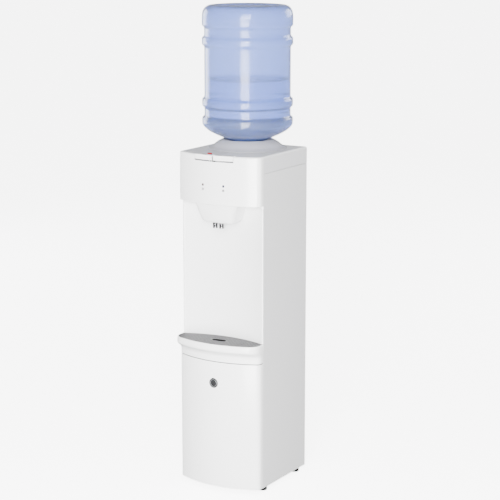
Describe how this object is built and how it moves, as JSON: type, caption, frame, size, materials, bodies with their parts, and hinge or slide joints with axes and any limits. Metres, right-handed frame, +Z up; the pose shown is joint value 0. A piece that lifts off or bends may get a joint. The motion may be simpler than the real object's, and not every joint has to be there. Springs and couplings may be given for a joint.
{
  "type": "bottled water dispenser",
  "caption": "Free-standing top-loading water dispenser with an upturned bottle, push buttons over a faucet shroud, a curved niche and a lift-out drip tray.",
  "frame": {"origin": "on the floor under the middle of the whole object", "axes": "+Z up along the bottle, front with the faucets towards -Y, +X to the right as seen from the front"},
  "size_m": [0.286, 0.366, 1.45],
  "materials": {
    "white_plastic": "smooth white moulding",
    "collar_plastic": "satin light grey moulding",
    "white_steel": "white powder coat",
    "galvanised_steel": "galvanised sheet",
    "tray_plastic": "grey moulding",
    "grille_plastic": "grey moulding",
    "badge_metal": "dark brushed disc with a bright edge",
    "hot_lens": "dark red lens",
    "cold_lens": "dark blue lens",
    "lock_red": "red moulding",
    "nozzle_chrome": "polished",
    "valve_plastic": "natural moulding",
    "circuit_board": "green laminate",
    "bottle_polycarbonate": "clear blue",
    "water": "clear liquid",
    "cap_plastic": "pale moulding",
    "stainless": "brushed",
    "copper": "drawn copper",
    "foam": "expanded foam",
    "heater": "satin",
    "silicone": "clear silicone",
    "black_rubber": "matte black",
    "compressor_paint": "black enamel",
    "condenser_paint": "black enamel",
    "black_plastic": "black moulding",
    "switch_red": "red rocker",
    "switch_green": "green rocker"
  },
  "bodies": {
    "cabinet": {"base_pan": "galvanised_steel", "left_side_panel": "white_steel", "right_side_panel": "white_steel", "back_panel": "galvanised_steel", "lower_front_panel": "white_plastic", "badge": "badge_metal", "tray_apron": "white_plastic", "niche_panel": "white_plastic", "head_panel": "white_plastic", "top_cover": "white_plastic", "faucet_shroud": "white_plastic", "hot_valve": "valve_plastic", "cold_valve": "valve_plastic", "hot_nozzle": "nozzle_chrome", "cold_nozzle": "nozzle_chrome", "hot_indicator": "hot_lens", "cold_indicator": "cold_lens", "control_board": "circuit_board", "cold_tank": "stainless", "tank_lid": "valve_plastic", "evaporator_coil": "copper", "tank_insulation": "foam", "tank_shelf": "galvanised_steel", "hot_tank": "stainless", "heater_band": "heater", "hot_tank_jacket": "foam", "hot_thermostats": "heater", "cold_outlet_tube": "silicone", "hot_outlet_tube": "silicone", "hot_feed_tube": "silicone", "drain_outlet": "black_plastic", "drain_tube": "silicone", "compressor": "compressor_paint", "compressor_grommets": "black_rubber", "condenser": "condenser_paint", "discharge_line": "copper", "suction_line": "copper", "filter_drier": "copper", "switch_plate": "black_plastic", "cord_gland": "black_rubber"},
    "collar": {"bottle_collar": "collar_plastic", "feed_probe": "valve_plastic"},
    "bottle": {"water_bottle": "bottle_polycarbonate", "bottle_cap": "cap_plastic", "water_fill": "water"},
    "hot_button": {"hot_button": "white_plastic", "hot_valve_rod": "valve_plastic"},
    "cold_button": {"cold_button": "white_plastic", "cold_valve_rod": "valve_plastic"},
    "child_lock": {"child_lock_tab": "lock_red"},
    "drip_tray": {"drip_tray": "tray_plastic"},
    "drip_grille": {"drip_grille": "grille_plastic"},
    "hot_switch": {"hot_switch": "switch_red"},
    "cold_switch": {"cold_switch": "switch_green"},
    "drain_cap": {"drain_cap": "black_plastic"},
    "foot_front_left": {"foot_front_left": "black_rubber"},
    "foot_front_right": {"foot_front_right": "black_rubber"},
    "foot_rear_left": {"foot_rear_left": "black_rubber"},
    "foot_rear_right": {"foot_rear_right": "black_rubber"}
  },
  "joints": [
    {"name": "collar_lift", "type": "slide", "parent": "cabinet", "child": "collar", "axis": [0, 0, 1], "range_m": [0, 0.06]},
    {"name": "bottle_lift", "type": "slide", "parent": "collar", "child": "bottle", "axis": [0, 0, 1], "range_m": [0, 0.12]},
    {"name": "hot_button_press", "type": "slide", "parent": "cabinet", "child": "hot_button", "axis": [0, 0, -1], "range_m": [0, 0.003], "stiffness_N_per_m": 600, "springref_m": -0.002},
    {"name": "cold_button_press", "type": "slide", "parent": "cabinet", "child": "cold_button", "axis": [0, 0, -1], "range_m": [0, 0.003], "stiffness_N_per_m": 600, "springref_m": -0.002},
    {"name": "child_lock_slide", "type": "slide", "parent": "cabinet", "child": "child_lock", "axis": [1, 0, 0], "range_m": [0, 0.01]},
    {"name": "tray_lift", "type": "slide", "parent": "cabinet", "child": "drip_tray", "axis": [0, 0, 1], "range_m": [0, 0.08]},
    {"name": "grille_lift", "type": "slide", "parent": "drip_tray", "child": "drip_grille", "axis": [0, 0, 1], "range_m": [0, 0.05]},
    {"name": "hot_switch_rock", "type": "hinge", "parent": "cabinet", "child": "hot_switch", "pos_m": [-0.015, 0.1595, 0.85], "axis": [1, 0, 0], "range_deg": [-16, 0]},
    {"name": "cold_switch_rock", "type": "hinge", "parent": "cabinet", "child": "cold_switch", "pos_m": [0.015, 0.1595, 0.85], "axis": [1, 0, 0], "range_deg": [-16, 0]},
    {"name": "drain_cap_pull", "type": "slide", "parent": "cabinet", "child": "drain_cap", "axis": [0, 1, 0], "range_m": [0, 0.02]},
    {"name": "foot_front_left_turn", "type": "hinge", "parent": "cabinet", "child": "foot_front_left", "pos_m": [-0.125, -0.08, 0.006], "axis": [0, 0, 1], "continuous": true},
    {"name": "foot_front_right_turn", "type": "hinge", "parent": "cabinet", "child": "foot_front_right", "pos_m": [0.125, -0.08, 0.006], "axis": [0, 0, 1], "continuous": true},
    {"name": "foot_rear_left_turn", "type": "hinge", "parent": "cabinet", "child": "foot_rear_left", "pos_m": [-0.125, 0.118, 0.006], "axis": [0, 0, 1], "continuous": true},
    {"name": "foot_rear_right_turn", "type": "hinge", "parent": "cabinet", "child": "foot_rear_right", "pos_m": [0.125, 0.118, 0.006], "axis": [0, 0, 1], "continuous": true}
  ]
}
